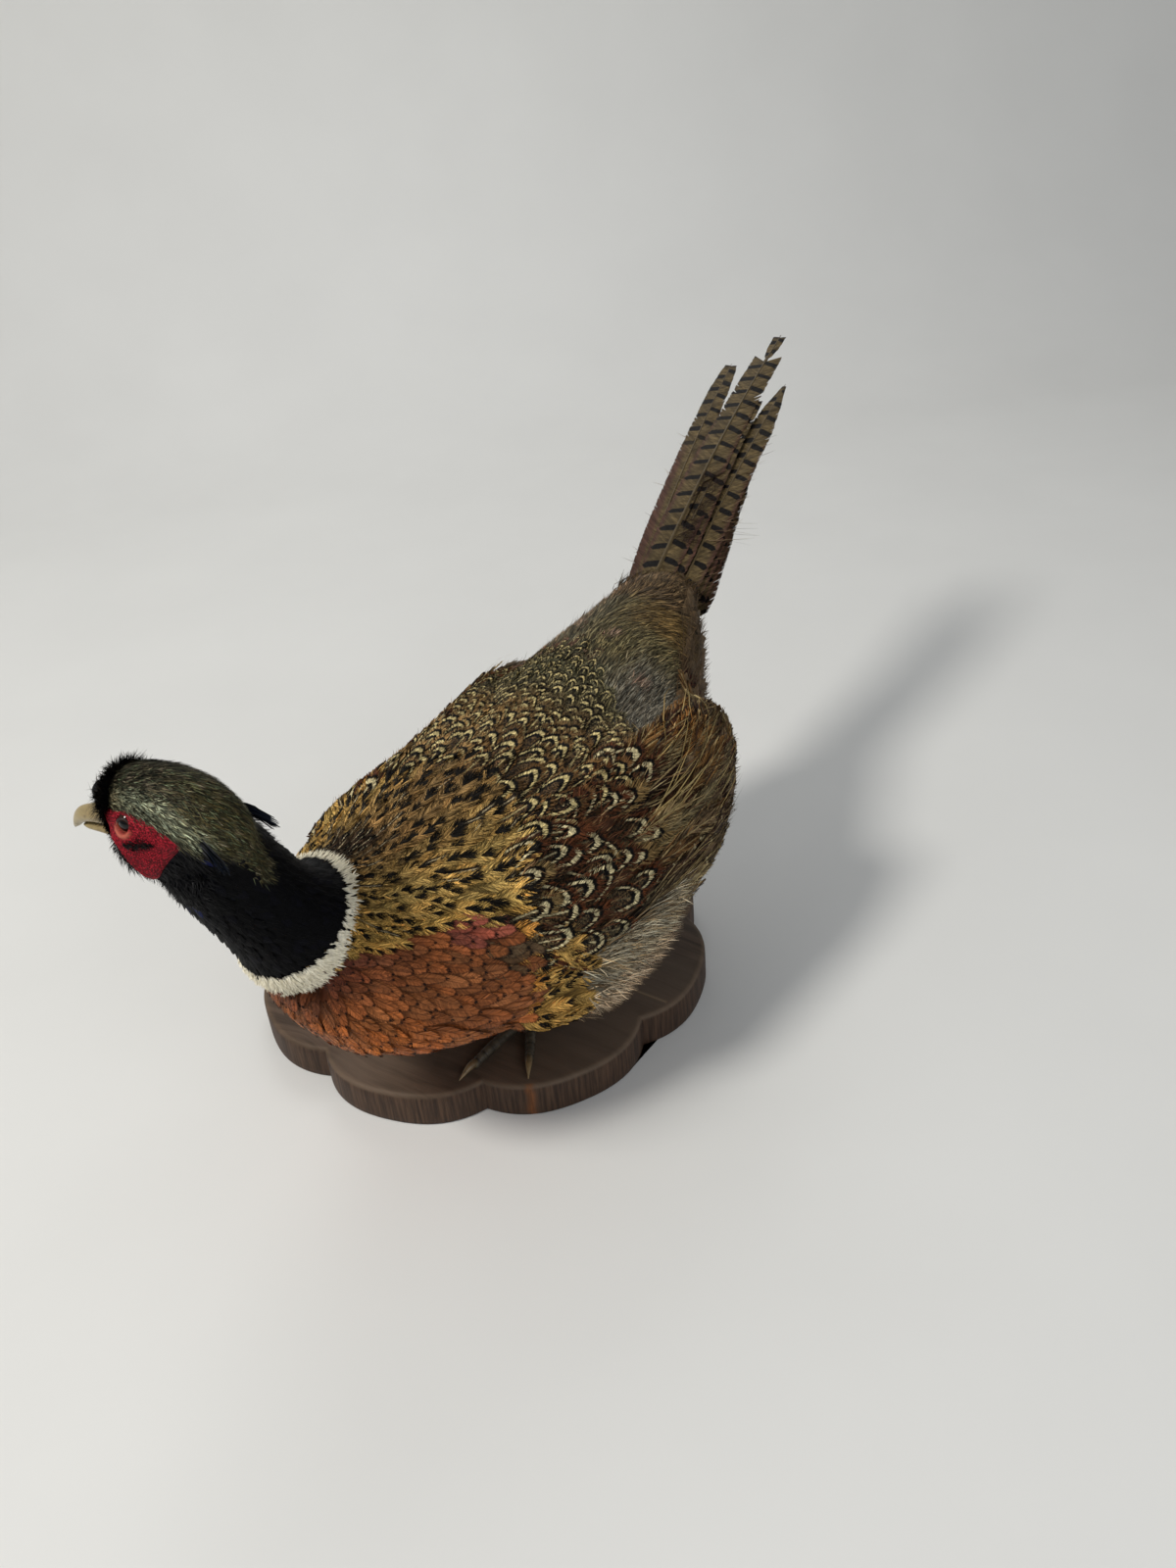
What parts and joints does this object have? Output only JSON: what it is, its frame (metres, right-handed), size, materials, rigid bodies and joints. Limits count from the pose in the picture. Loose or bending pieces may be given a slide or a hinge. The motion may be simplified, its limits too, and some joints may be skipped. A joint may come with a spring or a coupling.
{
  "type": "taxidermy pheasant",
  "caption": "Mounted cock ring-necked pheasant standing on a scalloped round wooden board, head turned to its right, tail raised behind.",
  "frame": {"origin": "centre of the wooden board's underside", "axes": "-Z down through the board, -Y the way the bird faces, +Y along its tail, +X to the bird's left"},
  "size_m": [0.2658, 0.616, 0.2755],
  "materials": {
    "board": "dark walnut brown, satin",
    "bill": "horn, tan yellow",
    "claw": "horn, tan",
    "leg_scales": "dry dark grey-brown scales",
    "eye": "glass taxidermy eye, orange iris",
    "wattle": "crimson, pebbled skin",
    "neck_plumage": "glossy blue-black feathers",
    "crown_plumage": "olive grey-green hair-like feathers",
    "wing_plumage": "chestnut and buff feathers edged cream",
    "flank_plumage": "yellow-buff feathers spotted black",
    "tail_plumage": "olive-buff feathers barred black",
    "body_plumage": "golden, coppery and brown scaled feathers"
  },
  "bodies": {
    "root": {"base": "board", "bill_lower": "bill", "bill_upper": "bill", "claw_hind_left": "claw", "claw_hind_right": "claw", "claw_inner_left": "claw", "claw_inner_right": "claw", "claw_middle_left": "claw", "claw_middle_right": "claw", "claw_outer_left": "claw", "claw_outer_right": "claw", "ear_tuft_left": "neck_plumage", "ear_tuft_right": "neck_plumage", "eye_left": "eye", "eye_right": "eye", "head": "crown_plumage", "neck": "neck_plumage", "spur_left": "claw", "spur_right": "claw", "tail_feather_left_1": "tail_plumage", "tail_feather_left_2": "tail_plumage", "tail_feather_left_3": "tail_plumage", "tail_feather_left_4": "tail_plumage", "tail_feather_left_5": "tail_plumage", "tail_feather_left_6": "tail_plumage", "tail_feather_right_1": "tail_plumage", "tail_feather_right_2": "tail_plumage", "tail_feather_right_3": "tail_plumage", "tail_feather_right_4": "tail_plumage", "tail_feather_right_5": "tail_plumage", "tail_feather_right_6": "tail_plumage", "tarsus_left": "leg_scales", "tarsus_right": "leg_scales", "thigh_left": "flank_plumage", "thigh_right": "flank_plumage", "toe_hind_left": "leg_scales", "toe_hind_right": "leg_scales", "toe_inner_left": "leg_scales", "toe_inner_right": "leg_scales", "toe_middle_left": "leg_scales", "toe_middle_right": "leg_scales", "toe_outer_left": "leg_scales", "toe_outer_right": "leg_scales", "trunk": "body_plumage", "wattle_left": "wattle", "wattle_right": "wattle", "wing_left": "wing_plumage", "wing_right": "wing_plumage"}
  },
  "joints": []
}
